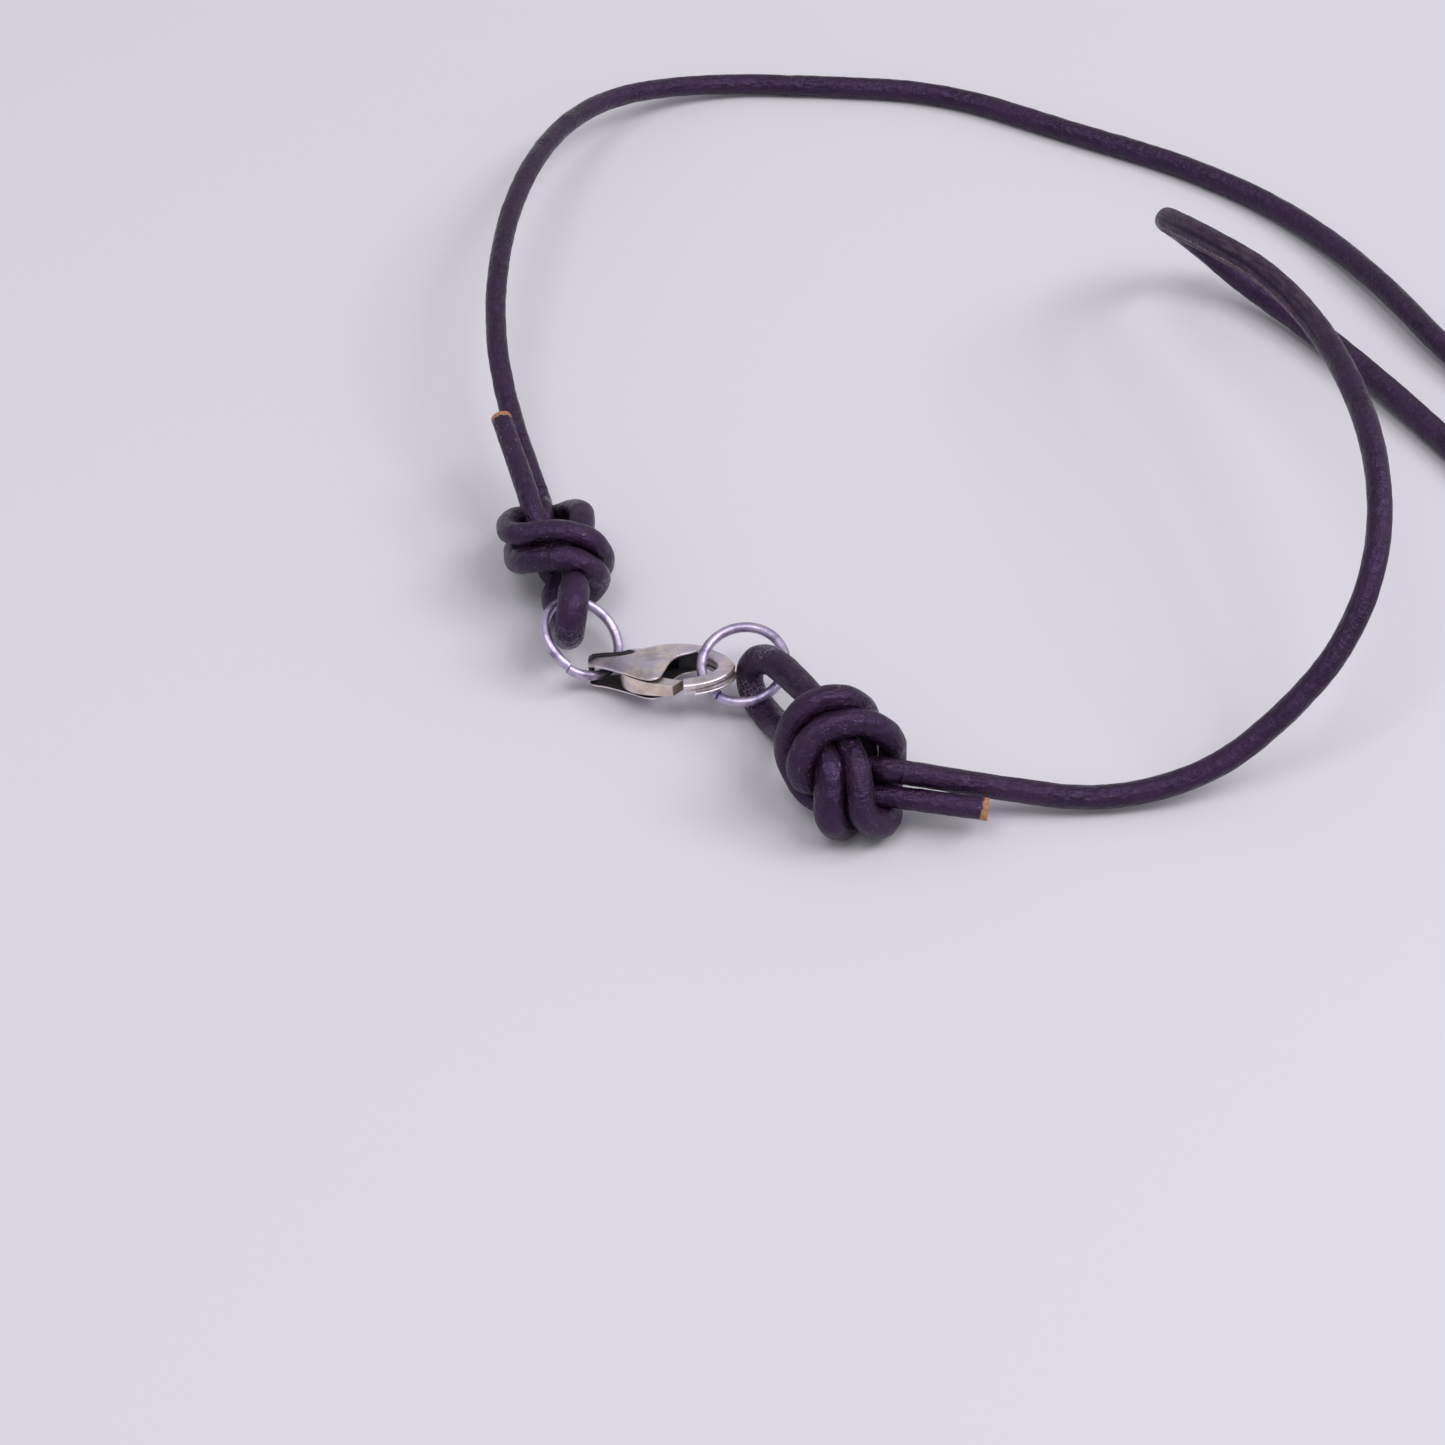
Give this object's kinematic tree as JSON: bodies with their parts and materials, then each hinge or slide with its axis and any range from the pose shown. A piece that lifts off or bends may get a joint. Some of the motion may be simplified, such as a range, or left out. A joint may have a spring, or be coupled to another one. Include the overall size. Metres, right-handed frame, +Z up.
{
  "type": "leather cord necklace",
  "caption": "Dark leather cord necklace lying in a loose loop, each end knotted to a jump ring and closed by a small silver lobster clasp.",
  "frame": {"origin": "on the surface the necklace lies on, under the middle of its knots, rings and clasp", "axes": "+Z up, +X along the clasp toward its hook, -Y the front that the picture was taken from"},
  "size_m": [0.1137, 0.1014, 0.0214],
  "materials": {
    "leather": "satin, very dark aubergine brown, waxed",
    "ring_silver": "scratched silver with a lavender reflection",
    "clasp_silver": "warm worn silver with blackened recesses"
  },
  "bodies": {
    "necklace": {"leather_cord": "leather", "knot_left": "leather", "knot_right": "leather", "ring_left": "ring_silver", "ring_right": "ring_silver", "clasp_body": "clasp_silver", "clasp_pin": "clasp_silver"},
    "lever": {"clasp_lever": "clasp_silver"}
  },
  "joints": [
    {"name": "lever_hinge", "type": "hinge", "parent": "necklace", "child": "lever", "pos_m": [-0.0078, -0.0035, 0.00204], "axis": [-0.1095, 0.3175, 0.9419], "range_deg": [0, 20], "stiffness_Nm_per_rad": 0.002, "springref_deg": -20.05}
  ]
}
